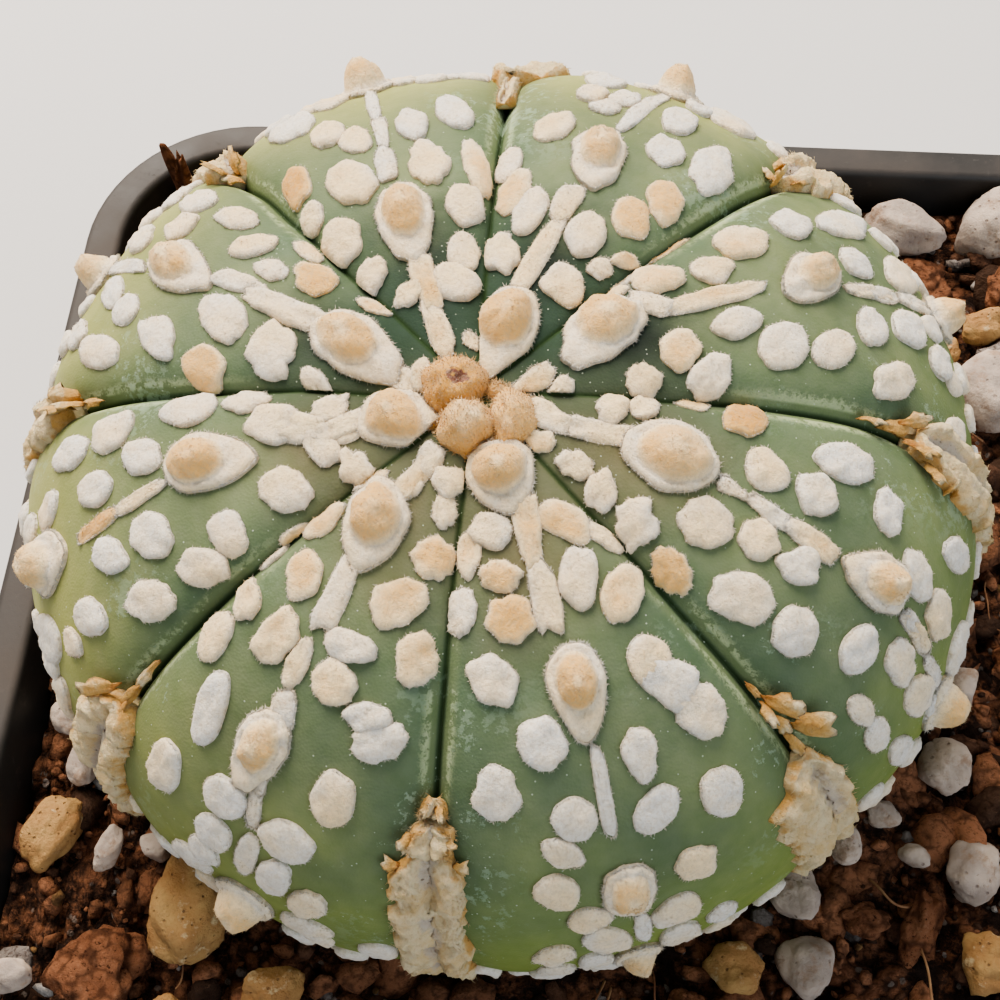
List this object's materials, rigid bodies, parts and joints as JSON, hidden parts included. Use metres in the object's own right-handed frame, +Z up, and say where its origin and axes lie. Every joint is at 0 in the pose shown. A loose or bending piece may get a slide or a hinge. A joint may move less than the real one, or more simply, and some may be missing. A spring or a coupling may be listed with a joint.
{
  "type": "potted star cactus",
  "caption": "Flat-domed ribbed star cactus with white felt flecks, rooted off-centre in a square black nursery pot of gritty soil.",
  "frame": {"origin": "centre of the pot's base, on the surface that the pot stands on", "axes": "+Z up, X and Y square to the pot's sides; the plant grows towards -X and +Y, and its lowest-leaning side faces -Y"},
  "size_m": [0.093, 0.093, 0.1074],
  "materials": {
    "black_plastic": "moulded black polypropylene, satin, with a dusty grey-brown bloom on top of the rim",
    "soil_mix": "gritty mix of dark peat, rust-brown coir and fine mineral grains, matt",
    "cactus_skin": "sage to blue-green skin, satin, with fine pale speckles and chalky streaks beside the furrows",
    "wool": "short white felt with a ragged hairy edge, tan in the middle of the areoles",
    "cork_scar": "rough cream cork with ragged orange-brown edges",
    "pumice": "pale grey to cream pumice, pitted and matt",
    "baked_clay": "ochre-yellow granules of fired clay, dusty and matt",
    "bark": "rust-brown chips of coconut husk and bark, fibrous and matt"
  },
  "bodies": {
    "root": {"bark_01": "bark", "bark_02": "bark", "bark_03": "bark", "bark_04": "bark", "bark_05": "bark", "bark_06": "bark", "bark_07": "bark", "bark_08": "bark", "bark_09": "bark", "bark_10": "bark", "bark_11": "bark", "cactus": "cactus_skin", "clay_01": "baked_clay", "clay_02": "baked_clay", "clay_03": "baked_clay", "clay_04": "baked_clay", "clay_05": "baked_clay", "clay_06": "baked_clay", "clay_07": "baked_clay", "clay_08": "baked_clay", "clay_09": "baked_clay", "clay_10": "baked_clay", "clay_11": "baked_clay", "pot": "black_plastic", "pumice_01": "pumice", "pumice_02": "pumice", "pumice_03": "pumice", "pumice_04": "pumice", "pumice_05": "pumice", "pumice_06": "pumice", "pumice_07": "pumice", "pumice_08": "pumice", "pumice_09": "pumice", "pumice_10": "pumice", "pumice_11": "pumice", "pumice_12": "pumice", "pumice_13": "pumice", "pumice_14": "pumice", "pumice_15": "pumice", "pumice_16": "pumice", "pumice_17": "pumice", "pumice_18": "pumice", "pumice_19": "pumice", "pumice_20": "pumice", "pumice_21": "pumice", "pumice_22": "pumice", "pumice_23": "pumice", "soil": "soil_mix"}
  },
  "joints": []
}
